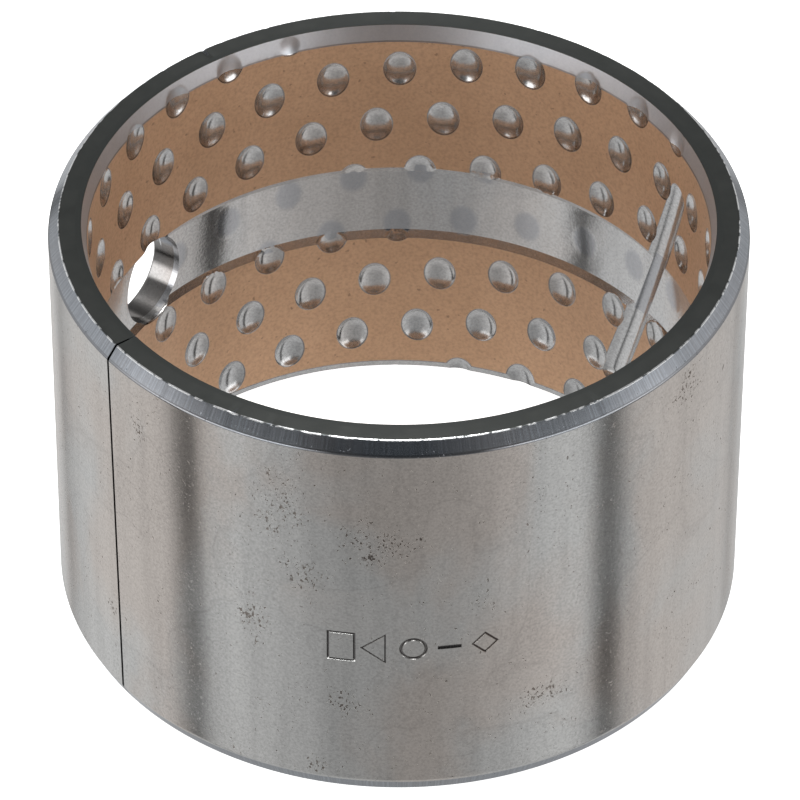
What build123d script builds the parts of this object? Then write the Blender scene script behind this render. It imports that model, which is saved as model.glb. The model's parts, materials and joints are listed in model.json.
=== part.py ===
from build123d import *

import os
from math import asin, cos, degrees, pi, radians, sin

# A wrapped bimetal plain bearing bush: a steel strip with a bronze face, rolled into a ring with a
# butt seam. The origin is the middle of the lower end face, +Z runs up the bore, and all sizes are
# in mm. Angles are in degrees round the bore from +X towards +Y.

# Driving dimensions
outer_radius = 45.0
bore_radius = 40.0
bush_length = 59.0
bronze_thickness = 1.5
bond_radius = bore_radius + bronze_thickness

# Chamfers, as (radial, axial) sizes
upper_outer_chamfer = (1.4, 1.7)
lower_outer_chamfer = (1.1, 2.3)
upper_bore_chamfer = (0.7, 2.5)
lower_bore_chamfer = (0.45, 1.3)

# The oil groove that runs right round the bore
ring_groove_centre = 29.15
ring_groove_width = 12.3
ring_groove_flank = 1.1
ring_groove_depth = 0.6
floor_radius = bore_radius + ring_groove_depth

# The slanting oil groove, pressed along the bore between two rounded ends
slant_groove_top = (24.3, 49.0)
slant_groove_bottom = (43.2, 10.0)
slant_groove_width = 4.2
slant_groove_depth = 0.9

# The oil hole, punched in the flat strip and squeezed to an oval when the strip was rolled
oil_hole_angle = 144.6
oil_hole_height = 29.15
oil_hole_across = 11.4
oil_hole_along = 13.0

# The butt seam: its angle half way up, its lean, and its gap at the bore and at the outside
seam_angle = -143.25
seam_lean = 1.1
seam_gap_at_bore = 0.12
seam_gap_outside = 0.4

# The ball indents, which hold grease: an oval outline on the bore, in slanting rows
indent_across = 4.3
indent_along = 5.5
indent_depth = 0.7
first_indent = (102.8, 50.9)
indent_step = (8.96, -1.245)
row_step = (3.08, -9.38)
indent_rows = range(-6, 12)
indents_in_row = range(-40, 41)
indent_seam_margin = 1.0

# A row of plain punch marks on the outside, below the middle of the front
mark_height = 25.3
mark_tall = 5.0
mark_wide = 3.8
mark_depth = 0.3
mark_line = 0.6
mark_first_angle = -99.1
mark_step_angle = 5.85
mark_bar_wide = 3.04

# How far a cutter stands out past the surface that it cuts
cutter_clearance = 4.0

arc_per_degree = bore_radius * pi / 180


def at(angle, height):
    """The turn and lift that bring a cutter made at +X to this place on the bore."""
    return Location((0, 0, height), (0, 0, angle))


def ring_blank(inner, outer, inner_chamfers, outer_chamfers):
    """A ring of the bush's length, with (lower, upper) chamfers on its inner and outer edges."""
    (inner_low, inner_high) = inner_chamfers
    (outer_low, outer_high) = outer_chamfers
    outline = [
        (inner + inner_low[0], 0),
        (outer - outer_low[0], 0),
        (outer, outer_low[1]),
        (outer, bush_length - outer_high[1]),
        (outer - outer_high[0], bush_length),
        (inner + inner_high[0], bush_length),
        (inner, bush_length - inner_high[1]),
        (inner, inner_low[1]),
    ]
    corners = []
    for corner in outline:
        if corner not in corners:
            corners.append(corner)
    with BuildPart() as blank:
        with BuildSketch(Plane.XZ):
            with BuildLine():
                Polyline(*corners, close=True)
            make_face()
        revolve(axis=Axis.Z)
    return blank.part


def seam_cutter():
    """The wedge-shaped gap between the two ends of the rolled strip, leaning a little."""
    flare = (seam_gap_outside - seam_gap_at_bore) / (outer_radius - bore_radius)
    outer_half = (seam_gap_outside + flare * cutter_clearance) / 2
    bore_half = seam_gap_at_bore / 2
    with BuildPart() as cutter:
        with BuildSketch(Plane.XY):
            with BuildLine():
                Polyline(
                    (bore_radius - cutter_clearance, -bore_half),
                    (bore_radius, -bore_half),
                    (outer_radius + cutter_clearance, -outer_half),
                    (outer_radius + cutter_clearance, outer_half),
                    (bore_radius, bore_half),
                    (bore_radius - cutter_clearance, bore_half),
                    close=True,
                )
            make_face()
        extrude(amount=bush_length, both=True)
    leaning = cutter.part.rotate(Axis.X, seam_lean)
    return leaning.moved(at(seam_angle, bush_length / 2))


def oil_hole_cutter():
    """An oval bar that runs straight out through the wall."""
    across_wall = Plane(
        origin=(0, 0, oil_hole_height),
        x_dir=(0, 0, 1),
        z_dir=(cos(radians(oil_hole_angle)), sin(radians(oil_hole_angle)), 0),
    )
    with BuildPart() as cutter:
        with BuildSketch(across_wall.offset(bore_radius - cutter_clearance)):
            Ellipse(oil_hole_along / 2, oil_hole_across / 2)
        extrude(amount=outer_radius - bore_radius + 2 * cutter_clearance)
    return cutter.part


def indent_cutter():
    """A short piece of a barrel-shaped wheel, which leaves one oval indent in the bore at +X."""
    half_along = indent_along / 2
    half_across = indent_across / 2
    bore_sag = bore_radius - (bore_radius**2 - half_across**2) ** 0.5
    wheel_radius = (half_along**2 + indent_depth**2) / (2 * indent_depth)
    edge_depth = indent_depth + bore_sag
    rim_radius = (half_across**2 + edge_depth**2) / (2 * edge_depth)
    overrun = 1.3
    cheek = 1.0
    half_width = half_across * overrun
    rim_drop = rim_radius - (rim_radius**2 - half_width**2) ** 0.5
    sweep = degrees(asin(half_along / wheel_radius)) * overrun
    hub = rim_drop + cheek
    with BuildPart() as cutter:
        with BuildSketch(Plane.XY):
            with BuildLine():
                Polyline(
                    (wheel_radius - rim_drop, half_width),
                    (wheel_radius - hub, half_width),
                    (wheel_radius - hub, -half_width),
                    (wheel_radius - rim_drop, -half_width),
                )
                ThreePointArc(
                    (wheel_radius - rim_drop, -half_width),
                    (wheel_radius, 0),
                    (wheel_radius - rim_drop, half_width),
                )
            make_face()
        revolve(axis=Axis.Y, revolution_arc=2 * sweep)
    upright = cutter.part.rotate(Axis.Y, -sweep)
    return upright.moved(Location((bore_radius + indent_depth - wheel_radius, 0, 0)))


def indent_centres():
    """The (angle, height) of every indent: a slanting lattice that stops at the seam and at the ends."""
    margin = indent_along / 2
    centres = []
    for row in indent_rows:
        for place in indents_in_row:
            arc = first_indent[0] * arc_per_degree + place * indent_step[0] + row * row_step[0]
            height = first_indent[1] + place * indent_step[1] + row * row_step[1]
            angle = arc / arc_per_degree
            if not indent_seam_margin < angle - seam_angle < 360 - indent_seam_margin:
                continue
            if -margin < height < bush_length + margin:
                centres.append((angle, height))
    return centres


# The ring groove's cutter: flat floor, sloping flanks
half_land = ring_groove_width / 2
half_floor = half_land - ring_groove_flank
clear_radius = bore_radius - cutter_clearance
with BuildPart() as ring_groove:
    with BuildSketch(Plane.XZ):
        with BuildLine():
            Polyline(
                (clear_radius, ring_groove_centre - half_land),
                (bore_radius, ring_groove_centre - half_land),
                (floor_radius, ring_groove_centre - half_floor),
                (floor_radius, ring_groove_centre + half_floor),
                (bore_radius, ring_groove_centre + half_land),
                (clear_radius, ring_groove_centre + half_land),
                close=True,
            )
        make_face()
    revolve(axis=Axis.Z)

# The slanting groove's cutter: a round bar wound along a steep helix, with ball ends
slant_sag = bore_radius - (bore_radius**2 - (slant_groove_width / 2) ** 2) ** 0.5
slant_edge_depth = slant_groove_depth + slant_sag
slant_bar_radius = ((slant_groove_width / 2) ** 2 + slant_edge_depth**2) / (2 * slant_edge_depth)
slant_path_radius = bore_radius + slant_groove_depth - slant_bar_radius
slant_rise = slant_groove_top[1] - slant_groove_bottom[1]
slant_turn = slant_groove_bottom[0] - slant_groove_top[0]
with BuildPart() as slant_groove:
    with BuildLine():
        slant_path = Helix(
            pitch=slant_rise * 360 / slant_turn,
            height=slant_rise,
            radius=slant_path_radius,
            lefthand=True,
        )
    with BuildSketch(Plane(origin=slant_path @ 0, z_dir=slant_path % 0)):
        Circle(slant_bar_radius)
    sweep()
    with Locations(slant_path @ 0, slant_path @ 1):
        Sphere(slant_bar_radius)
slant_groove_bar = slant_groove.part.moved(at(slant_groove_bottom[0], slant_groove_bottom[1]))

indent_tool = indent_cutter()
indent_places = [at(angle, height) for angle, height in indent_centres()]

# The bronze lining, bonded to the inside of the steel
with BuildPart() as bronze_lining:
    add(
        ring_blank(
            bore_radius,
            bond_radius,
            inner_chamfers=(lower_bore_chamfer, upper_bore_chamfer),
            outer_chamfers=((0, 0), (0, 0)),
        )
    )
    add(ring_groove.part, mode=Mode.SUBTRACT)
    with Locations(*indent_places):
        add(indent_tool, mode=Mode.SUBTRACT)
    add(slant_groove_bar, mode=Mode.SUBTRACT)
    add(oil_hole_cutter(), mode=Mode.SUBTRACT)
    add(seam_cutter(), mode=Mode.SUBTRACT)
bronze_lining.part.label = "bronze_lining"


def mark_plane(place):
    """The plane at the bottom of one punch mark, facing outwards."""
    angle = radians(mark_first_angle + place * mark_step_angle)
    outward = Vector(cos(angle), sin(angle), 0)
    return Plane(
        origin=outward * (outer_radius - mark_depth) + Vector(0, 0, mark_height),
        x_dir=(-sin(angle), cos(angle), 0),
        z_dir=outward,
    )


# Five plain punch marks in a row: an oblong, a triangle, a circle, a bar and a diamond
with BuildPart() as punch_marks:
    with BuildSketch(mark_plane(0)):
        Rectangle(mark_wide, mark_tall)
        offset(amount=-mark_line, kind=Kind.INTERSECTION, mode=Mode.SUBTRACT)
    with BuildSketch(mark_plane(1)):
        Triangle(a=mark_wide, b=mark_tall, c=mark_tall)
        offset(amount=-mark_line, kind=Kind.INTERSECTION, mode=Mode.SUBTRACT)
    with BuildSketch(mark_plane(2)):
        Circle(mark_wide / 2)
        offset(amount=-mark_line, mode=Mode.SUBTRACT)
    with BuildSketch(mark_plane(3)):
        Rectangle(mark_bar_wide, mark_line)
    with BuildSketch(mark_plane(4)):
        RegularPolygon(mark_wide / 2, side_count=4)
        offset(amount=-mark_line, kind=Kind.INTERSECTION, mode=Mode.SUBTRACT)
    extrude(amount=mark_depth + cutter_clearance)

# The steel back, which carries the load into the housing
with BuildPart() as steel_back:
    add(
        ring_blank(
            bond_radius,
            outer_radius,
            inner_chamfers=((0, 0), (0, 0)),
            outer_chamfers=(lower_outer_chamfer, upper_outer_chamfer),
        )
    )
    add(oil_hole_cutter(), mode=Mode.SUBTRACT)
    add(seam_cutter(), mode=Mode.SUBTRACT)
    add(punch_marks.part, mode=Mode.SUBTRACT)
steel_back.part.label = "steel_back"

os.makedirs("parts", exist_ok=True)
for piece in (steel_back, bronze_lining):
    export_step(piece.part, "parts/" + piece.part.label + ".step")
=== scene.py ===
import json
from math import atan2, cos, hypot, pi, radians, sin, sqrt

import bmesh
import bpy
from mathutils import Matrix, Vector, noise


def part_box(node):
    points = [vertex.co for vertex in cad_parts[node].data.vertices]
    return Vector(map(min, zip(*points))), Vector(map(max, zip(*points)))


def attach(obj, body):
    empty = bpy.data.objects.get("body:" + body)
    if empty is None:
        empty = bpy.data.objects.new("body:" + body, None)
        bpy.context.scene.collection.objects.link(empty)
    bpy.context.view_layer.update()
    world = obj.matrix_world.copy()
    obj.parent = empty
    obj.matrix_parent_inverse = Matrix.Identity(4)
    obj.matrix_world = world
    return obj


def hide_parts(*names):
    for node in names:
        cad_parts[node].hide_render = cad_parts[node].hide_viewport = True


# A wrapped bimetal bush: a tinned steel strip with a bronze face, rolled into a ring. Everything is in
# metres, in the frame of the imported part: +Z runs up the bore from the middle of the lower end face.
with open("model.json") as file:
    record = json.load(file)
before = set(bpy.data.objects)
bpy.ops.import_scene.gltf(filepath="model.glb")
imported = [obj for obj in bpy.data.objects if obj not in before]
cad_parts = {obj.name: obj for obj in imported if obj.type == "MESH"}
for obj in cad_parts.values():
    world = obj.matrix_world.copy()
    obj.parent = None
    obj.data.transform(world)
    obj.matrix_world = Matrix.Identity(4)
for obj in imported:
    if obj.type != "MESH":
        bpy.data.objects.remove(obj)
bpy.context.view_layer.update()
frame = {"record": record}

# The camera: a long lens on a stand in front of the bush, tipped down into the bore.
# It stands far back, so the near and far rims are almost the same width.
mm = 0.001
mounts = {mount["name"]: mount for mount in frame["record"]["mounts"]}
outer_radius = mounts["housing_fit"]["dims"]["r_mm"] * mm
tipped_down = 0.7077
turned_aside = -0.00034
rolled_over = 0.00417
camera_data = bpy.data.cameras.new("camera")
camera_data.sensor_width = 36.0
camera_data.lens = 294.5
camera_data.clip_start = 0.05
camera_data.clip_end = 50.0
camera = bpy.data.objects.new("camera", camera_data)
bpy.context.scene.collection.objects.link(camera)
camera_stand = Matrix.Translation((0, -14.488 * outer_radius, 13.021 * outer_radius))
camera_tip = Matrix.Rotation(pi / 2 - tipped_down, 4, "X")
camera_turn = Matrix.Rotation(turned_aside, 4, "Z")
camera_roll = Matrix.Rotation(rolled_over, 4, "Z")
camera.matrix_world = camera_stand @ camera_turn @ camera_tip @ camera_roll
bpy.context.scene.camera = camera
bpy.context.scene.view_settings.view_transform = "Standard"


# The studio: a tent of pale cloth round the table, under one round lamp. Its panels meet at dark upright
# seams, it is dark where the camera looks in and under its roof, and the middle of its roof is bright.
def new_node(tree, kind, **settings):
    """Adds a node of this kind to a tree, with these settings."""
    node = tree.nodes.new(kind)
    for name, value in settings.items():
        setattr(node, name, value)
    return node


def maths(tree, operation, first, second=None, third=None, clamp=False):
    """A Math node; each input is a socket or a number."""
    node = new_node(tree, "ShaderNodeMath", operation=operation, use_clamp=clamp)
    for socket, value in zip(node.inputs, (first, second, third)):
        if isinstance(value, (int, float)):
            socket.default_value = value
        elif value is not None:
            tree.links.new(value, socket)
    return node.outputs[0]


def ramp(tree, factor, stops, easing="LINEAR"):
    """A colour ramp over (place, colour) stops; a colour may be one grey value."""
    node = new_node(tree, "ShaderNodeValToRGB")
    node.color_ramp.interpolation = easing
    elements = node.color_ramp.elements
    elements.remove(elements[1])
    for index, (place, colour) in enumerate(stops):
        element = elements[0] if index == 0 else elements.new(place)
        element.position = place
        element.color = (colour, colour, colour, 1) if isinstance(colour, float) else (*colour, 1)
    tree.links.new(factor, node.inputs[0])
    return node.outputs[0]


def mix(tree, factor, first, second, blend="MIX"):
    """A colour mix; each input is a socket, a number or a colour."""
    node = new_node(tree, "ShaderNodeMix", data_type="RGBA", blend_type=blend)
    for socket, value in ((node.inputs[0], factor), (node.inputs[6], first), (node.inputs[7], second)):
        if isinstance(value, (int, float)):
            socket.default_value = value if socket.type == "VALUE" else (value, value, value, 1)
        elif isinstance(value, tuple):
            socket.default_value = (*value, 1)
        else:
            tree.links.new(value, socket)
    return node.outputs[2]


world = bpy.data.worlds.new("tent")
bpy.context.scene.world = world
world.use_nodes = True
tent = world.node_tree
tent.nodes.clear()
towards = new_node(tent, "ShaderNodeTexCoord").outputs["Generated"]
east, north, up = new_node(tent, "ShaderNodeSeparateXYZ").outputs
tent.links.new(towards, east.node.inputs[0])
from_camera = maths(tent, "ARCTAN2", east, maths(tent, "MULTIPLY", north, -1.0))
round_share = maths(tent, "MULTIPLY_ADD", from_camera, 0.5 / pi, 0.5)
raised = maths(tent, "MULTIPLY_ADD", up, 0.5, 0.5)


def by_azimuth(*stops):
    """Ramp stops from (degrees round from the camera, brightness) pairs."""
    return [((angle + 180) / 360, brightness) for angle, brightness in stops]


def by_elevation(*stops):
    """Ramp stops from (degrees above the table, brightness) pairs."""
    return [((sin(radians(angle)) + 1) / 2, brightness) for angle, brightness in stops]


low_left = [(-180, 0.72), (-152, 0.80), (-150, 0.15), (-146, 0.15), (-143, 0.62), (-124, 0.74), (-85, 0.68)]
low_left += [(-79, 0.52), (-75, 0.03), (-70, 0.03), (-66, 0.72), (-42, 0.52), (-20, 0.38)]
low_right = [(0, 0.36), (20, 0.40), (42, 0.53), (62, 0.70), (68, 0.68), (70, 0.02), (78, 0.02), (81, 0.58)]
low_right += [(100, 0.66), (145, 0.66), (148, 0.35), (153, 0.35), (156, 0.66), (180, 0.72)]
low_cloth = ramp(tent, round_share, by_azimuth(*low_left, *low_right))
lens_gloom = (0.030, 0.040, 0.050)
roof_cloth = 1.8
floor_cloth = 0.55
middle_left = [(-180, 0.5), (-120, 0.8), (-95, 1.0), (-75, 2.6), (-32, 2.8), (-20, 0.25)]
middle_right = [(0, 0.10), (24, 0.14), (36, 2.6), (75, 2.6), (95, 1.0), (130, 0.7), (180, 0.5)]
middle_cloth = ramp(tent, round_share, by_azimuth(*middle_left, *middle_right))
high_left = [(-180, 0.10), (-125, 0.42), (-85, 0.40), (-65, 0.12), (-25, 0.08)]
high_right = [(-8, lens_gloom), (8, lens_gloom), (28, 0.20), (60, 0.16), (90, 0.26), (130, 0.34), (180, 0.10)]
high_cloth = ramp(tent, round_share, by_azimuth(*high_left, *high_right))
to_middle = ramp(tent, raised, by_elevation((-90, 0.0), (-14, 0.0), (-3, 1.0), (90, 1.0)))
to_high = ramp(tent, raised, by_elevation((-90, 0.0), (18, 0.0), (26, 1.0), (90, 1.0)))
to_roof = ramp(tent, raised, by_elevation((-90, 0.0), (62, 0.0), (72, 1.0), (90, 1.0)))
to_floor = ramp(tent, raised, by_elevation((-90, 1.0), (-66, 1.0), (-52, 0.0), (90, 0.0)))
low_cloth = mix(tent, to_floor, low_cloth, floor_cloth)
lower_cloth = mix(tent, to_middle, low_cloth, middle_cloth)
upper_cloth = mix(tent, to_roof, high_cloth, roof_cloth)
lit_cloth = mix(tent, to_high, lower_cloth, upper_cloth)
camera_ray = new_node(tent, "ShaderNodeLightPath").outputs["Is Camera Ray"]
seen_cloth = mix(tent, camera_ray, lit_cloth, (1.0, 1.0, 1.0))
tent_light = new_node(tent, "ShaderNodeBackground")
tent.links.new(seen_cloth, tent_light.inputs["Color"])
tent_out = new_node(tent, "ShaderNodeOutputWorld")
tent.links.new(tent_light.outputs[0], tent_out.inputs[0])

overhead_data = bpy.data.lights.new("overhead", "AREA")
overhead_data.shape = "DISK"
overhead_data.size = 0.5
overhead_data.energy = 5.0
overhead = bpy.data.objects.new("overhead", overhead_data)
overhead.location = (0, 0, 1.2)
bpy.context.scene.collection.objects.link(overhead)

# The table: a plain pale sheet that the bush stands on. The polished metal looks past it to the tent.
table_mesh = bmesh.new()
bmesh.ops.create_grid(table_mesh, x_segments=2, y_segments=2, size=4.0)
table_data = bpy.data.meshes.new("table")
table_mesh.to_mesh(table_data)
table_mesh.free()
table = bpy.data.objects.new("table", table_data)
bpy.context.scene.collection.objects.link(table)
table.visible_glossy = False
table_finish = bpy.data.materials.new("pale_table")
table_finish.use_nodes = True
table_shader = table_finish.node_tree.nodes["Principled BSDF"]
table_shader.inputs["Base Color"].default_value = (0.9, 0.9, 0.9, 1)
table_shader.inputs["Roughness"].default_value = 0.9
table_shader.inputs["Specular IOR Level"].default_value = 0.0
table_shader.inputs["Emission Color"].default_value = (1, 1, 1, 1)
table_shader.inputs["Emission Strength"].default_value = 1.0
table_data.materials.append(table_finish)

# The steel back: a tin-flashed steel strip, chamfered along both edges and rolled into a ring. Its two
# ends meet at an open butt seam that widens outwards and leans a little. One oil hole is punched
# through it, and a row of five plain inspection marks is stamped on its face.
bore_radius = mounts["bore"]["dims"]["r_mm"] * mm
bush_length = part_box("steel_back")[1].z
bond_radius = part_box("bronze_lining")[1].x
wall = outer_radius - bore_radius
seam_angle = radians(-143.25)
seam_lean = radians(1.1)
seam_gap_at_bore = 0.12 * mm
seam_gap_outside = 0.40 * mm
upper_outer_chamfer = (1.4 * mm, 1.7 * mm)
lower_outer_chamfer = (1.1 * mm, 2.3 * mm)
steel_columns = 540
corner_round = 0.16 * mm
oil_hole_angle = radians(144.6)
oil_hole_height = 29.15 * mm
oil_hole_half_across = 5.7 * mm
oil_hole_half_along = 6.5 * mm
mark_height = 25.3 * mm
mark_tall = 5.0 * mm
mark_wide = 3.8 * mm
mark_bar_wide = 3.04 * mm
mark_depth = 0.3 * mm
mark_line = 0.6 * mm
mark_first_angle = radians(-99.1)
mark_step = radians(5.85)


def finished_object(name, work, finish):
    """Puts a worked mesh into the scene as a smooth-shaded object at the origin."""
    data = bpy.data.meshes.new(name)
    work.to_mesh(data)
    work.free()
    for polygon in data.polygons:
        polygon.use_smooth = True
    data.materials.append(finish)
    piece = bpy.data.objects.new(name, data)
    bpy.context.scene.collection.objects.link(piece)
    return piece


def keep_result(piece):
    """Makes what a piece's modifiers show its own mesh, and clears them."""
    bpy.context.view_layer.update()
    result = bpy.data.meshes.new_from_object(piece.evaluated_get(bpy.context.evaluated_depsgraph_get()))
    piece.modifiers.clear()
    old_data = piece.data
    piece.data = result
    bpy.data.meshes.remove(old_data)
    result.name = piece.name


def shade_evenly(piece):
    """Keeps flat faces flat beside their rounded edges, and creases the sharp ones."""
    piece.data.set_sharp_from_angle(angle=radians(24))
    even = piece.modifiers.new("even_shading", "WEIGHTED_NORMAL")
    even.mode = "FACE_AREA"
    even.weight = 60
    even.keep_sharp = True
    keep_result(piece)


def cut_away(piece, cutter):
    """Takes the cutter's mesh out of a piece, and frees the cutter."""
    tool_data = bpy.data.meshes.new("cutter")
    cutter.to_mesh(tool_data)
    cutter.free()
    tool = bpy.data.objects.new("cutter", tool_data)
    bpy.context.scene.collection.objects.link(tool)
    cut = piece.modifiers.new("cut", "BOOLEAN")
    cut.operation = "DIFFERENCE"
    cut.solver = "EXACT"
    cut.object = tool
    keep_result(piece)
    bpy.data.objects.remove(tool)
    bpy.data.meshes.remove(tool_data)


def oil_hole_cutter():
    """An oval bar that runs out through the wall, flared at each face to round the hole's rim."""
    cutter = bmesh.new()
    flares = [(-1.2 * mm, 1.3 * mm), (-0.1 * mm, 0.28 * mm), (0.1 * mm, 0.1 * mm), (0.35 * mm, 0.0)]
    rings = [(bore_radius + into_wall, flare) for into_wall, flare in flares]
    rings += [(outer_radius - into_wall, flare) for into_wall, flare in reversed(flares)]
    turn = Matrix.Rotation(oil_hole_angle, 3, "Z")
    loops = []
    for radius, flare in rings:
        verts = bmesh.ops.create_circle(cutter, segments=96, radius=1)["verts"]
        for vertex in verts:
            across = vertex.co.x * (oil_hole_half_across + flare)
            along = vertex.co.y * (oil_hole_half_along + flare)
            vertex.co = (sqrt(radius**2 - across**2), across, along + oil_hole_height)
        loops.append([edge for edge in cutter.edges if edge.verts[0] in verts and edge.verts[1] in verts])
    for first, second in zip(loops, loops[1:]):
        bmesh.ops.bridge_loops(cutter, edges=first + second)
    bmesh.ops.holes_fill(cutter, edges=loops[0] + loops[-1], sides=0)
    bmesh.ops.triangulate(cutter, faces=[face for face in cutter.faces if len(face.verts) > 4])
    bmesh.ops.rotate(cutter, verts=cutter.verts, cent=(0, 0, 0), matrix=turn)
    cutter.normal_update()
    bmesh.ops.recalc_face_normals(cutter, faces=cutter.faces)
    return cutter


steel = bmesh.new()
steel_profile = [
    (bond_radius, 0),
    (outer_radius - lower_outer_chamfer[0], 0),
    (outer_radius, lower_outer_chamfer[1]),
    (outer_radius, bush_length - upper_outer_chamfer[1]),
    (outer_radius - upper_outer_chamfer[0], bush_length),
    (bond_radius, bush_length),
]
section = steel.faces.new([steel.verts.new((radius, 0, height)) for radius, height in steel_profile])
outer_corners = [vertex for vertex in section.verts if vertex.co.x > bond_radius + mm]
bmesh.ops.bevel(
    steel,
    geom=outer_corners,
    offset=corner_round,
    offset_type="OFFSET",
    segments=3,
    profile=0.5,
    affect="VERTICES",
    material=-1,
)
steel.faces.ensure_lookup_table()
bond_gap = seam_gap_at_bore + (seam_gap_outside - seam_gap_at_bore) * 0.3
gap_angle = bond_gap / bond_radius
start = Matrix.Rotation(seam_angle + gap_angle / 2, 3, "Z")
bmesh.ops.rotate(steel, verts=steel.verts, cent=(0, 0, 0), matrix=start)
bmesh.ops.spin(
    steel,
    geom=steel.verts[:] + steel.edges[:] + steel.faces[:],
    cent=(0, 0, 0),
    axis=(0, 0, 1),
    angle=2 * pi - gap_angle,
    steps=steel_columns,
    use_merge=False,
)
for vertex in steel.verts:
    radius = hypot(vertex.co.x, vertex.co.y)
    from_seam = (atan2(vertex.co.y, vertex.co.x) - seam_angle + pi) % (2 * pi) - pi
    turn = -sin(seam_lean) * (vertex.co.z - bush_length / 2) / radius
    if abs(from_seam) < gap_angle:
        gap = seam_gap_at_bore + (seam_gap_outside - seam_gap_at_bore) * (radius - bore_radius) / wall
        turn += (gap / radius - gap_angle) / 2 * (1 if from_seam > 0 else -1)
    vertex.co = Matrix.Rotation(turn, 3, "Z") @ vertex.co
steel.normal_update()
bmesh.ops.recalc_face_normals(steel, faces=steel.faces)

# Handling nicks along the upper outer edge, as small pushed-in spots
nick_depth = 0.12 * mm
least_bite = 0.22
for vertex in steel.verts:
    radius = hypot(vertex.co.x, vertex.co.y)
    near_top = bush_length - vertex.co.z < 0.3 * mm and radius > outer_radius - 1.8 * mm
    if near_top:
        angle = atan2(vertex.co.y, vertex.co.x)
        wide_bite = noise.noise(Vector((angle * 60, 3.0, 0)))
        narrow_bite = noise.noise(Vector((angle * 170, 7.0, 0)))
        bite = wide_bite * 0.6 + narrow_bite * 0.4
        if bite > least_bite:
            push = min((bite - least_bite) * 3, 1) * nick_depth
            vertex.co.z -= push
            vertex.co.x -= push * 0.7 * cos(angle)
            vertex.co.y -= push * 0.7 * sin(angle)


def outline_cutter(work, sides, half_wide, half_tall, turn):
    """A mark's outline: a slab that stays clear of the wall, with a ring under it that has sloping sides."""
    clear = 0.1 * mm
    face = bmesh.ops.create_circle(work, segments=sides, radius=1, cap_ends=True)["verts"][0].link_faces[0]
    bmesh.ops.rotate(work, verts=work.verts, cent=(0, 0, 0), matrix=Matrix.Rotation(turn, 3, "Z"))
    bmesh.ops.scale(work, verts=work.verts, vec=(half_wide, half_tall, 1))
    bmesh.ops.translate(work, verts=work.verts, vec=(0, 0, 4 * clear))
    slab = bmesh.ops.extrude_face_region(work, geom=[face])["geom"]
    under = [item for item in slab if isinstance(item, bmesh.types.BMFace)]
    bmesh.ops.translate(work, verts=under[0].verts, vec=(0, 0, -3 * clear))
    bmesh.ops.recalc_face_normals(work, faces=work.faces)
    reach = clear + mark_depth
    for width, depth in ((0.42, reach), (0.16, 0), (0.42, -reach)):
        bmesh.ops.inset_region(work, faces=under, thickness=width * mark_line, depth=depth)


def mark_cutter(place):
    """One inspection mark's cutter: an oblong, a triangle, a circle, a bar or a diamond."""
    work = bmesh.new()
    half_wide = mark_wide / 2
    if place == 0:
        outline_cutter(work, 4, half_wide * sqrt(2), mark_tall / sqrt(2), pi / 4)
    elif place == 1:
        outline_cutter(work, 3, mark_wide * 0.6, mark_tall * 0.6, pi / 2)
    elif place == 2:
        outline_cutter(work, 40, half_wide, half_wide, 0)
    elif place == 3:
        bmesh.ops.create_cube(work, size=1)
        bmesh.ops.scale(work, verts=work.verts, vec=(mark_bar_wide, mark_line, 2 * mark_depth))
    else:
        outline_cutter(work, 4, half_wide, half_wide, 0)
    return work


def group_shell(name, inputs, outputs):
    """An empty shader node group with named sockets; returns it and its input and output nodes."""
    group = bpy.data.node_groups.new(name, "ShaderNodeTree")
    for socket_name, kind, value in inputs:
        socket = group.interface.new_socket(socket_name, in_out="INPUT", socket_type=kind)
        if value is not None:
            socket.default_value = value
    for socket_name, kind in outputs:
        group.interface.new_socket(socket_name, in_out="OUTPUT", socket_type=kind)
    return group, group.nodes.new("NodeGroupInput"), group.nodes.new("NodeGroupOutput")


def placed_group(tree, group, **values):
    """Places a node group in a material; each value is a socket or a plain value."""
    node = new_node(tree, "ShaderNodeGroup", node_tree=group)
    for name, value in values.items():
        socket = node.inputs[name.replace("_", " ").capitalize()]
        if isinstance(value, bpy.types.NodeSocket):
            tree.links.new(value, socket)
        else:
            socket.default_value = value
    return node.outputs


def grain(tree, place, size, stretch=(1, 1, 1), detail=3.0, warp=0.0):
    """Cloudy noise with features of this size, in metres, drawn out by the stretch."""
    scaled = new_node(tree, "ShaderNodeMapping")
    scaled.inputs["Scale"].default_value = [1 / (size * factor) for factor in stretch]
    tree.links.new(place, scaled.inputs["Vector"])
    cloud = new_node(tree, "ShaderNodeTexNoise")
    cloud.inputs["Scale"].default_value = 1.0
    cloud.inputs["Detail"].default_value = detail
    cloud.inputs["Distortion"].default_value = warp
    tree.links.new(scaled.outputs[0], cloud.inputs["Vector"])
    return cloud.outputs["Fac"]


def step(tree, value, low, high):
    """Nought below low, one above high, and smooth between."""
    node = new_node(tree, "ShaderNodeMapRange", interpolation_type="SMOOTHSTEP")
    node.inputs["From Min"].default_value = low
    node.inputs["From Max"].default_value = high
    tree.links.new(value, node.inputs["Value"])
    return node.outputs["Result"]


def fall(tree, value, low, high):
    """One below low, nought above high, and smooth between."""
    return maths(tree, "SUBTRACT", 1.0, step(tree, value, low, high))


def band(tree, value, low, high, soft):
    """One between low and high, fading to nought over a soft edge on both sides."""
    rise = step(tree, value, low - soft, low)
    return maths(tree, "SUBTRACT", rise, step(tree, value, high, high + soft))


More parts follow.
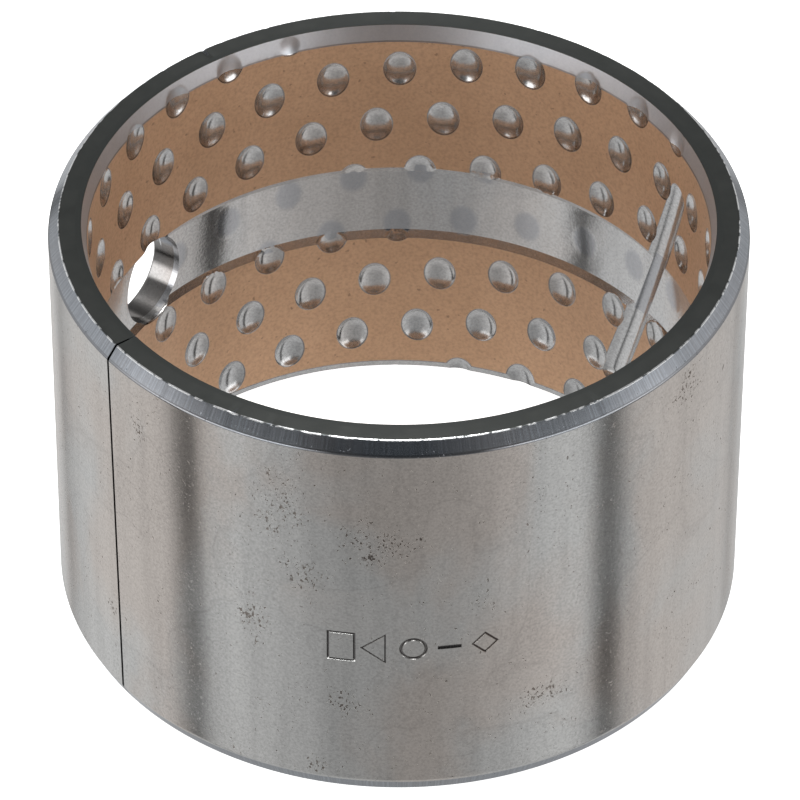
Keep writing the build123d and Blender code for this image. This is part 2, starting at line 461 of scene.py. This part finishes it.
# Where a point lies on the bush: its distance from the axis, its angle and its height
whereabouts, where_in, where_out = group_shell(
    "bush_whereabouts",
    [("Position", "NodeSocketVector", None)],
    [("Radius", "NodeSocketFloat"), ("Angle", "NodeSocketFloat"), ("Height", "NodeSocketFloat")],
)
where_x, where_y, where_z = new_node(whereabouts, "ShaderNodeSeparateXYZ").outputs
whereabouts.links.new(where_in.outputs["Position"], where_x.node.inputs[0])
square_sum = maths(whereabouts, "MULTIPLY", where_x, where_x)
square_sum = maths(whereabouts, "MULTIPLY_ADD", where_y, where_y, square_sum)
whereabouts.links.new(maths(whereabouts, "SQRT", square_sum), where_out.inputs["Radius"])
whereabouts.links.new(maths(whereabouts, "ARCTAN2", where_y, where_x), where_out.inputs["Angle"])
whereabouts.links.new(where_z, where_out.inputs["Height"])

# The tin flash: a thin bright coat that clouds, wipes and stains as it ages
tin_flash, tin_in, tin_out = group_shell(
    "tin_flash",
    [
        ("Position", "NodeSocketVector", None),
        ("Clean tin", "NodeSocketColor", (0.60, 0.60, 0.59, 1)),
        ("Stained tin", "NodeSocketColor", (0.60, 0.53, 0.48, 1)),
        ("Staining", "NodeSocketFloat", 1.0),
    ],
    [("Colour", "NodeSocketColor"), ("Roughness", "NodeSocketFloat"), ("Relief", "NodeSocketFloat")],
)
tin_place = tin_in.outputs["Position"]
cloud = grain(tin_flash, tin_place, 22 * mm, (1, 1, 1.6), 4.0, 0.4)
wipes = grain(tin_flash, tin_place, 2.2 * mm, (1, 1, 14), 3.0)
speckle = grain(tin_flash, tin_place, 0.35 * mm, (1, 1, 1), 2.0)
stain_share = maths(tin_flash, "MULTIPLY", step(tin_flash, cloud, 0.42, 0.62), tin_in.outputs["Staining"])
tinned = mix(tin_flash, stain_share, tin_in.outputs["Clean tin"], tin_in.outputs["Stained tin"])
wiped = ramp(tin_flash, wipes, [(0.30, 0.92), (0.5, 1.0), (0.72, 1.05)])
tinned = mix(tin_flash, 1.0, tinned, wiped, "MULTIPLY")
speckled = ramp(tin_flash, speckle, [(0.30, 0.86), (0.5, 1.0), (0.7, 1.10)])
tinned = mix(tin_flash, 1.0, tinned, speckled, "MULTIPLY")
tide = grain(tin_flash, tin_place, 24 * mm, (1, 1, 0.9), 2.0, 0.6)
tide_line = band(tin_flash, tide, 0.525, 0.530, 0.006)
tide_share = maths(tin_flash, "MULTIPLY", tide_line, 0.22)
tide_share = maths(tin_flash, "MULTIPLY", tide_share, tin_in.outputs["Staining"])
tinned = mix(tin_flash, tide_share, tinned, (0.36, 0.33, 0.31))
inside_tide = maths(tin_flash, "MULTIPLY", step(tin_flash, tide, 0.53, 0.56), 0.10)
tinned = mix(tin_flash, inside_tide, tinned, (0.80, 0.74, 0.69))
tin_flash.links.new(tinned, tin_out.inputs["Colour"])
tin_flash.links.new(ramp(tin_flash, cloud, [(0.3, 0.20), (0.7, 0.15)]), tin_out.inputs["Roughness"])
tin_flash.links.new(maths(tin_flash, "MULTIPLY_ADD", wipes, 0.4, speckle), tin_out.inputs["Relief"])


def bare_material(name, anisotropy):
    """A bare metal whose finish runs round the axis; returns the material, its tree and its shader."""
    finish = bpy.data.materials.new(name)
    finish.use_nodes = True
    shader = finish.node_tree.nodes["Principled BSDF"]
    shader.inputs["Metallic"].default_value = 1.0
    shader.inputs["Anisotropic"].default_value = anisotropy
    shader.inputs["Anisotropic Rotation"].default_value = 0.25
    turned = new_node(finish.node_tree, "ShaderNodeTangent", direction_type="RADIAL", axis="Z")
    finish.node_tree.links.new(turned.outputs[0], shader.inputs["Tangent"])
    return finish, finish.node_tree, shader


def add_relief(tree, shader, height, depth):
    """Bumps the shader's surface by this height, a share of the depth in metres."""
    bump = new_node(tree, "ShaderNodeBump")
    bump.inputs["Distance"].default_value = depth
    tree.links.new(height, bump.inputs["Height"])
    tree.links.new(bump.outputs[0], shader.inputs["Normal"])
    return bump


def end_face_share(tree, height):
    """One on the bush's two end faces and nought elsewhere, from a point's height."""
    from_middle = maths(tree, "ABSOLUTE", maths(tree, "SUBTRACT", height, bush_length / 2))
    return step(tree, from_middle, bush_length / 2 - 0.09 * mm, bush_length / 2 - 0.03 * mm)


steel_back_finish, tree, shader = bare_material("flashed_steel", 0.95)
place = new_node(tree, "ShaderNodeTexCoord").outputs["Object"]
where = placed_group(tree, whereabouts, position=place)
flash = placed_group(tree, tin_flash, position=place, staining=0.7)
colour = flash["Colour"]

# Clusters of fine dark pits, where the coat has broken: (degrees round, height, half width, half height),
# the last three in millimetres
pit_clusters = [(-109, 47, 4, 8), (-93, 43, 7, 5), (-105, 37, 4, 4), (-76, 33, 2, 3), (-114, 27, 3, 5)]
pit_clusters += [(-99, 15, 3, 4), (-103, 4, 2, 3), (-136, 50, 1.5, 3), (-145, 15, 1.5, 3)]
pit_clusters += [(-36, 53, 4, 4), (-66, 14, 5, 3)]
pit_grain = grain(tree, place, 0.36 * mm, (1, 1, 1.3), 3.0, 0.5)
pit_field = grain(tree, place, 3.2 * mm, (1, 1, 1), 2.0)
near_pits = None
for angle, height, half_wide, half_tall in pit_clusters:
    turned_by = maths(tree, "SUBTRACT", where["Angle"], radians(angle))
    across = maths(tree, "MULTIPLY", turned_by, outer_radius / (half_wide * mm))
    along = maths(tree, "MULTIPLY_ADD", where["Height"], 1 / (half_tall * mm), -height / half_tall)
    spread = maths(tree, "MULTIPLY_ADD", along, along, maths(tree, "MULTIPLY", across, across))
    nearness = maths(tree, "SUBTRACT", 1.0, spread, clamp=True)
    near_pits = nearness if near_pits is None else maths(tree, "MAXIMUM", near_pits, nearness)
pit_level = maths(tree, "MULTIPLY_ADD", pit_field, 0.25, pit_grain)
pit_level = maths(tree, "MULTIPLY_ADD", near_pits, 0.13, pit_level)
pits = step(tree, pit_level, 0.80, 0.86)
on_wall = step(tree, where["Radius"], outer_radius - 0.6 * mm, outer_radius - 0.4 * mm)
pits = maths(tree, "MULTIPLY", pits, on_wall)
colour = mix(tree, maths(tree, "MULTIPLY", pits, 0.8), colour, (0.15, 0.12, 0.10))

# The stamped marks: painted shade inside them, a dark grey laid over the wall's colour
stamped = fall(tree, where["Radius"], outer_radius - 0.12 * mm, outer_radius - 0.02 * mm)
mark_zone = band(tree, where["Height"], mark_height - mark_tall, mark_height + mark_tall, mm)
stamped = maths(tree, "MULTIPLY", stamped, mark_zone)
colour = mix(tree, maths(tree, "MULTIPLY", stamped, 0.6), colour, (0.13, 0.12, 0.12))

# The turned chamfers and the faced ends: cooler and more even than the rolled wall, and darker, their dark
# grey partly painted shade
off_wall = fall(tree, where["Radius"], outer_radius - 0.25 * mm, outer_radius - 0.1 * mm)
off_wall = maths(tree, "MULTIPLY", off_wall, maths(tree, "SUBTRACT", 1.0, mark_zone))
turned_lines = grain(tree, place, 0.5 * mm, (30, 30, 0.6), 2.0)
# Painted shade: the chamfers' dark blue-grey, with real turning lines and chatter ticks in it
turned_and_shaded_colour = mix(tree, turned_lines, (0.20, 0.225, 0.265), (0.28, 0.31, 0.35))
chatter = new_node(tree, "ShaderNodeTexNoise", noise_dimensions="1D")
chatter.inputs["Scale"].default_value = 150.0
chatter.inputs["Detail"].default_value = 1.0
tree.links.new(where["Angle"], chatter.inputs["W"])
ticks = ramp(tree, chatter.outputs["Fac"], [(0.35, 0.85), (0.5, 1.0), (0.66, 1.25)])
turned_and_shaded_colour = mix(tree, 1.0, turned_and_shaded_colour, ticks, "MULTIPLY")
colour = mix(tree, maths(tree, "MULTIPLY", off_wall, 0.8), colour, turned_and_shaded_colour)
on_end = end_face_share(tree, where["Height"])
end_cloud = grain(tree, place, 3 * mm, (1, 1, 1), 3.0)
# The ends' near-black grey: a darker faced finish, deepened with painted shade
end_colour_and_shade = mix(tree, end_cloud, (0.095, 0.102, 0.098), (0.145, 0.152, 0.145))
colour = mix(tree, on_end, colour, end_colour_and_shade)

# The upper chamfer's inner edge carries a painted highlight, broken in places, and its outer edge a dark line
# of painted shade
upper_half = step(tree, where["Height"], bush_length / 2, bush_length / 2 + mm)
chamfer_top = outer_radius - upper_outer_chamfer[0]
highlight_band = band(tree, where["Radius"], chamfer_top - 0.06 * mm, chamfer_top + 0.10 * mm, 0.04 * mm)
highlight_breaks = step(tree, grain(tree, place, 1.1 * mm, (1, 1, 1), 3.0), 0.40, 0.52)
edge_highlight = maths(tree, "MULTIPLY", maths(tree, "MULTIPLY", highlight_band, highlight_breaks), upper_half)
# The painted highlight: a near-white line along the edge
colour = mix(tree, edge_highlight, colour, (0.95, 0.96, 0.97))
# A dark line of painted shade along the chamfer's outer edge
chamfer_foot = bush_length - upper_outer_chamfer[1]
shaded_edge_line = band(tree, where["Height"], chamfer_foot - 0.12 * mm, chamfer_foot + 0.22 * mm, 0.05 * mm)
colour = mix(tree, maths(tree, "MULTIPLY", shaded_edge_line, 0.8), colour, (0.16, 0.175, 0.20))
tree.links.new(colour, shader.inputs["Base Color"])
rough = mix(tree, off_wall, flash["Roughness"], 0.17)
rough = mix(tree, on_end, rough, 0.42)
rough = mix(tree, edge_highlight, rough, 0.25)
rough = mix(tree, pits, rough, 0.55)
tree.links.new(rough, shader.inputs["Roughness"])
relief = maths(tree, "MULTIPLY_ADD", pits, -12.0, flash["Relief"])
add_relief(tree, shader, relief, 0.0014 * mm)

# The same finish for the two end faces, which are faced and not rolled, so highlights stretch less on them
end_finish = steel_back_finish.copy()
end_finish.name = "faced_steel_end"
end_finish.node_tree.nodes["Principled BSDF"].inputs["Anisotropic"].default_value = 0.35

steel_back = finished_object("tinned_steel_back", steel, steel_back_finish)
cut_away(steel_back, oil_hole_cutter())
for mark_number in range(5):
    mark = mark_cutter(mark_number)
    mark.normal_update()
    bmesh.ops.recalc_face_normals(mark, faces=mark.faces)
    facing_out = Matrix(((0, 0, 1), (1, 0, 0), (0, 1, 0))).to_4x4()
    on_the_wall = Matrix.Translation((outer_radius, 0, mark_height)) @ facing_out
    bmesh.ops.transform(mark, verts=mark.verts, matrix=on_the_wall)
    turn = Matrix.Rotation(mark_first_angle + mark_number * mark_step, 3, "Z")
    bmesh.ops.rotate(mark, verts=mark.verts, cent=(0, 0, 0), matrix=turn)
    cut_away(steel_back, mark)
shade_evenly(steel_back)
steel_back.data.materials.append(end_finish)
for polygon in steel_back.data.polygons:
    if abs(polygon.normal.z) > 0.995:
        polygon.material_index = 1
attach(steel_back, "root")
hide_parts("steel_back")

# The bronze lining: a strip bonded to the steel, pressed full of oval grease dishes in slanting rows, and
# grooved for oil. It is made flat, as the real strip is, then rolled round: x runs along it, y through it
# and z across it.
dish_half_across = 2.15 * mm
dish_half_along = 2.75 * mm
dish_depth = 0.7 * mm
first_dish = (radians(102.8) * bore_radius, 50.9 * mm)
dish_step = (8.96 * mm, -1.245 * mm)
row_step = (3.08 * mm, -9.38 * mm)
dish_sides = 32
upper_bore_chamfer = (0.7 * mm, 2.5 * mm)
lower_bore_chamfer = (0.45 * mm, 1.3 * mm)
ring_groove_centre = 29.15 * mm
ring_groove_half_width = 6.15 * mm
ring_groove_flank = 1.1 * mm
ring_groove_depth = 0.6 * mm
flattened_dish_depth = 0.05 * mm
unrolled_reach = 1.5 * mm

# Rings of one dish, from the flat land to the middle, as shares of its half width and of its depth
dish_rings = [(1.12, 0.0), (1.05, 0.014), (1.0, 0.06), (0.95, 0.135), (0.87, 0.29), (0.77, 0.47)]
dish_rings += [(0.63, 0.67), (0.47, 0.83), (0.30, 0.93), (0.15, 0.983)]

cell = bmesh.new()
cell_corners = []
for along, across in ((-0.5, -0.5), (0.5, -0.5), (0.5, 0.5), (-0.5, 0.5)):
    x = along * dish_step[0] + across * row_step[0]
    z = along * dish_step[1] + across * row_step[1]
    cell_corners.append(cell.verts.new((x, 0, z)))
for k in range(4):
    cell.edges.new((cell_corners[k], cell_corners[(k + 1) % 4]))
bmesh.ops.subdivide_edges(cell, edges=cell.edges, cuts=dish_sides // 4 - 1)
border = cell.edges[:]
oval = bmesh.ops.create_circle(cell, segments=dish_sides, radius=1)["verts"]
share = dish_rings[0][0]
lay_down = Matrix.Diagonal((dish_half_across * share, 1, dish_half_along * share))
bmesh.ops.transform(cell, verts=oval, matrix=(lay_down @ Matrix.Rotation(pi / 2, 3, "X")).to_4x4())
ring = [edge for edge in cell.edges if edge.verts[0] in oval and edge.verts[1] in oval]
bridge = bmesh.ops.bridge_loops(cell, edges=border + ring)
spokes = [edge for edge in bridge["edges"] if edge not in border and edge not in ring]
bmesh.ops.subdivide_edges(cell, edges=spokes, cuts=2, use_grid_fill=True)
for next_share, depth_share in dish_rings[1:]:
    ring_growth = bmesh.ops.extrude_edge_only(cell, edges=ring)["geom"]
    ring_verts = [item for item in ring_growth if isinstance(item, bmesh.types.BMVert)]
    ring = [item for item in ring_growth if isinstance(item, bmesh.types.BMEdge)]
    for vertex in ring_verts:
        vertex.co.x *= next_share / share
        vertex.co.z *= next_share / share
        vertex.co.y = depth_share * dish_depth
    share = next_share
middle = bmesh.ops.extrude_edge_only(cell, edges=ring)["geom"]
middle_verts = [item for item in middle if isinstance(item, bmesh.types.BMVert)]
bmesh.ops.pointmerge(cell, verts=middle_verts, merge_co=(0, dish_depth, 0))
cell_data = bpy.data.meshes.new("dish_cell")
cell.to_mesh(cell_data)
cell.free()

# The whole strip of dishes, trimmed to the bush's length and at the leaning seam
seam_x = seam_angle * bore_radius
strip_length = 2 * pi * bore_radius
lining = bmesh.new()
for row in range(-6, 12):
    for dish in range(-40, 41):
        x = first_dish[0] + dish * dish_step[0] + row * row_step[0]
        z = first_dish[1] + dish * dish_step[1] + row * row_step[1]
        beside = x < seam_x - dish_step[0] or x > seam_x + strip_length + dish_step[0]
        if beside or not row_step[1] < z < bush_length - row_step[1]:
            continue
        old_count = len(lining.verts)
        lining.from_mesh(cell_data)
        lining.verts.ensure_lookup_table()
        bmesh.ops.translate(lining, verts=lining.verts[old_count:], vec=(x, 0, z))
bpy.data.meshes.remove(cell_data)
bmesh.ops.remove_doubles(lining, verts=lining.verts, dist=0.01 * mm)


def trim(work, place, facing, clear=True):
    """Cuts the strip along a plane, and clears what lies on the side that the plane faces."""
    geometry = work.verts[:] + work.edges[:] + work.faces[:]
    bmesh.ops.bisect_plane(work, geom=geometry, dist=1e-7, plane_co=place, plane_no=facing, clear_outer=clear)


half_bore_gap = seam_gap_at_bore / 2
lean = Vector((cos(seam_lean), 0, sin(seam_lean)))
trim(lining, (0, 0, bush_length), (0, 0, 1))
trim(lining, (0, 0, 0), (0, 0, -1))
trim(lining, (seam_x + half_bore_gap, 0, bush_length / 2), -lean)
trim(lining, (seam_x + strip_length - half_bore_gap, 0, bush_length / 2), lean)
groove_lines = []
for side in (-1, 1):
    groove_lines.append(ring_groove_centre + side * ring_groove_half_width)
    groove_lines.append(ring_groove_centre + side * (ring_groove_half_width - ring_groove_flank))
chamfer_lines = [bush_length - upper_bore_chamfer[1], lower_bore_chamfer[1]]
for height in groove_lines + chamfer_lines:
    trim(lining, (0, 0, height), (0, 0, 1), clear=False)

# The oil grooves and the end chamfers push the strip's face down; a dish under the ring groove is
# rolled almost flat, and only its oval outline is left on the groove's floor
groove_floor_half = ring_groove_half_width - ring_groove_flank
for vertex in lining.verts:
    from_groove = abs(vertex.co.z - ring_groove_centre)
    above = (vertex.co.z - chamfer_lines[0]) / upper_bore_chamfer[1]
    below = (chamfer_lines[1] - vertex.co.z) / lower_bore_chamfer[1]
    chamfer_depth = max(above * upper_bore_chamfer[0], below * lower_bore_chamfer[0], 0)
    flank_share = (ring_groove_half_width - from_groove) / ring_groove_flank
    groove_share = min(max(flank_share, 0), 1)
    if from_groove < groove_floor_half + 1e-6:
        ghost = vertex.co.y / dish_depth * flattened_dish_depth
        unrolled = max(1 - (groove_floor_half - from_groove) / unrolled_reach, 0)
        vertex.co.y = max(ring_groove_depth + ghost, vertex.co.y * unrolled)
    else:
        vertex.co.y = max(vertex.co.y, chamfer_depth, groove_share * ring_groove_depth)

# The back, the lower edge and the two ends of the strip close it, and it is rolled round into a ring
strip_back = bond_radius - bore_radius


def pull_back(work, height):
    """Pulls the strip's long edge at this height out to its back, and returns the back's corners in order."""
    edge_line = [e for e in work.edges if e.is_boundary and all(abs(v.co.z - height) < 1e-6 for v in e.verts)]
    pulled = bmesh.ops.extrude_edge_only(work, edges=edge_line)["geom"]
    corners = [item for item in pulled if isinstance(item, bmesh.types.BMVert)]
    for corner in corners:
        corner.co.y = strip_back
    return sorted(corners, key=lambda corner: corner.co.x)


lower_corners = pull_back(lining, 0)
upper_corners = pull_back(lining, bush_length)
lean_shift = bush_length * sin(seam_lean)
low, high = 0, 0
while low < len(lower_corners) - 1 or high < len(upper_corners) - 1:
    next_low = lower_corners[low + 1].co.x - lean_shift if low < len(lower_corners) - 1 else 1
    next_high = upper_corners[high + 1].co.x if high < len(upper_corners) - 1 else 1
    if next_low < next_high:
        lining.faces.new((lower_corners[low], lower_corners[low + 1], upper_corners[high]))
        low += 1
    else:
        lining.faces.new((lower_corners[low], upper_corners[high + 1], upper_corners[high]))
        high += 1
bmesh.ops.holes_fill(lining, edges=[edge for edge in lining.edges if edge.is_boundary], sides=0)


def roll_round(work):
    """Rolls a flat strip into the ring: x becomes the arc at the bore, y the depth below it."""
    for vertex in work.verts:
        angle = vertex.co.x / bore_radius
        radius = bore_radius + vertex.co.y
        vertex.co = (radius * cos(angle), radius * sin(angle), vertex.co.z)
    work.normal_update()
    bmesh.ops.recalc_face_normals(work, faces=work.faces)


roll_round(lining)

# The slanting oil groove's tool: a round-ended bar, laid along the flat strip and rolled with it
slant_top = (radians(24.3) * bore_radius, 49.0 * mm)
slant_bottom = (radians(43.2) * bore_radius, 10.0 * mm)
slant_half_width = 2.1 * mm
slant_depth = 0.9 * mm
slant_radius = (slant_half_width**2 + slant_depth**2) / (2 * slant_depth)
slant_run = hypot(slant_bottom[0] - slant_top[0], slant_top[1] - slant_bottom[1])
slant = bmesh.new()
bmesh.ops.create_uvsphere(slant, u_segments=48, v_segments=24, radius=slant_radius)
for vertex in slant.verts:
    if abs(vertex.co.z) > 1e-6:
        vertex.co.z += slant_run / 2 if vertex.co.z > 0 else -slant_run / 2
long_edges = [edge for edge in slant.edges if edge.calc_length() > 5 * mm]
bmesh.ops.subdivide_edges(slant, edges=long_edges, cuts=12, use_grid_fill=True)
tilt = Matrix.Rotation(-atan2(slant_bottom[0] - slant_top[0], slant_top[1] - slant_bottom[1]), 3, "Y")
bmesh.ops.rotate(slant, verts=slant.verts, cent=(0, 0, 0), matrix=tilt)
slant_x = (slant_top[0] + slant_bottom[0]) / 2
slant_z = (slant_top[1] + slant_bottom[1]) / 2
bmesh.ops.translate(slant, verts=slant.verts, vec=(slant_x, slant_depth - slant_radius, slant_z))
roll_round(slant)

lining_finish, tree, shader = bare_material("dished_bronze", 0.35)
place = new_node(tree, "ShaderNodeTexCoord").outputs["Object"]
where = placed_group(tree, whereabouts, position=place)
flash = placed_group(tree, tin_flash, position=place, staining=0.35, clean_tin=(0.60, 0.60, 0.60, 1))
depth = maths(tree, "SUBTRACT", where["Radius"], bore_radius)
ragged = grain(tree, place, 0.5 * mm, (1, 1, 1), 3.0)
ragged_depth = maths(tree, "MULTIPLY_ADD", ragged, 0.012 * mm, depth)
recess = step(tree, ragged_depth, 0.018 * mm, 0.034 * mm)

# Bronze: fine mottling, soft clouds and a few dark freckles
mottle = grain(tree, place, 0.45 * mm, (1, 1, 1), 3.0)
clouds = grain(tree, place, 7 * mm, (1, 1, 1), 2.0)
bronze = mix(tree, clouds, (0.50, 0.31, 0.185), (0.59, 0.375, 0.235))
bronze = mix(tree, 1.0, bronze, ramp(tree, mottle, [(0.3, 0.86), (0.5, 1.0), (0.7, 1.08)]), "MULTIPLY")
freckles = step(tree, grain(tree, place, 0.8 * mm, (1, 1, 1), 1.0), 0.72, 0.78)
bronze = mix(tree, maths(tree, "MULTIPLY", freckles, 0.6), bronze, (0.20, 0.12, 0.07))

# Tin in the recesses, with a painted cool reflection tinting it on the chamfer, darker and cooler where a
# dish was rolled flat, and a dark outline round each rim that is partly painted shade
tin = flash["Colour"]
groove_foot = ring_groove_centre - ring_groove_half_width
groove_top = ring_groove_centre + ring_groove_half_width
in_groove = band(tree, where["Height"], groove_foot, groove_top, 0.05 * mm)
on_chamfer = step(tree, where["Height"], chamfer_lines[0] - 0.05 * mm, chamfer_lines[0] + 0.05 * mm)
# A painted cool reflection: a bluer tint on the chamfer's tin
tin = mix(tree, maths(tree, "MULTIPLY", on_chamfer, 0.7), tin, (0.62, 0.66, 0.72))
flattened = step(tree, depth, ring_groove_depth - 0.004 * mm, ring_groove_depth + 0.035 * mm)
ghost = maths(tree, "MULTIPLY", flattened, in_groove)
tin = mix(tree, maths(tree, "MULTIPLY", ghost, 0.6), tin, (0.37, 0.38, 0.41))
colour = mix(tree, recess, bronze, tin)
# The dark outline round each dish: partly where the tin ends, partly painted shade of the rounded rim
past_rim = step(tree, depth, 0.06 * mm, 0.10 * mm)
rim = maths(tree, "SUBTRACT", step(tree, depth, 0.008 * mm, 0.03 * mm), past_rim)
rim = maths(tree, "MULTIPLY", rim, maths(tree, "SUBTRACT", 1.0, in_groove))
colour = mix(tree, maths(tree, "MULTIPLY", rim, 0.55), colour, (0.16, 0.12, 0.10))
# The lining's end faces painted dark grey: a faced finish deepened with painted shade
on_end = end_face_share(tree, where["Height"])
colour = mix(tree, on_end, colour, (0.12, 0.128, 0.123))
tree.links.new(colour, shader.inputs["Base Color"])
rough = mix(tree, recess, ramp(tree, mottle, [(0.3, 0.50), (0.7, 0.42)]), flash["Roughness"])
rough = mix(tree, on_chamfer, rough, 0.40)
tree.links.new(rough, shader.inputs["Roughness"])
tree.links.new(mix(tree, recess, 0.5, 1.0), shader.inputs["Metallic"])
relief = maths(tree, "ADD", mottle, flash["Relief"])
bump = add_relief(tree, shader, relief, 0.006 * mm)

# The bore between the dishes is shaded as the true cylinder it is rolled to
to_axis = new_node(tree, "ShaderNodeVectorMath", operation="MULTIPLY")
to_axis.inputs[1].default_value = (-1, -1, 0)
tree.links.new(place, to_axis.inputs[0])
inward = new_node(tree, "ShaderNodeVectorMath", operation="NORMALIZE")
tree.links.new(to_axis.outputs[0], inward.inputs[0])
own_normal = new_node(tree, "ShaderNodeNewGeometry").outputs["Normal"]
off_bore = maths(tree, "MAXIMUM", step(tree, depth, 0.004 * mm, 0.02 * mm), on_end)
facing = new_node(tree, "ShaderNodeMix", data_type="VECTOR")
tree.links.new(off_bore, facing.inputs["Factor"])
tree.links.new(inward.outputs[0], facing.inputs[4])
tree.links.new(own_normal, facing.inputs[5])
tree.links.new(facing.outputs[1], bump.inputs["Normal"])

bronze_lining = finished_object("dished_bronze_lining", lining, lining_finish)
cut_away(bronze_lining, slant)
cut_away(bronze_lining, oil_hole_cutter())
shade_evenly(bronze_lining)
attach(bronze_lining, "root")
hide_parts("bronze_lining")
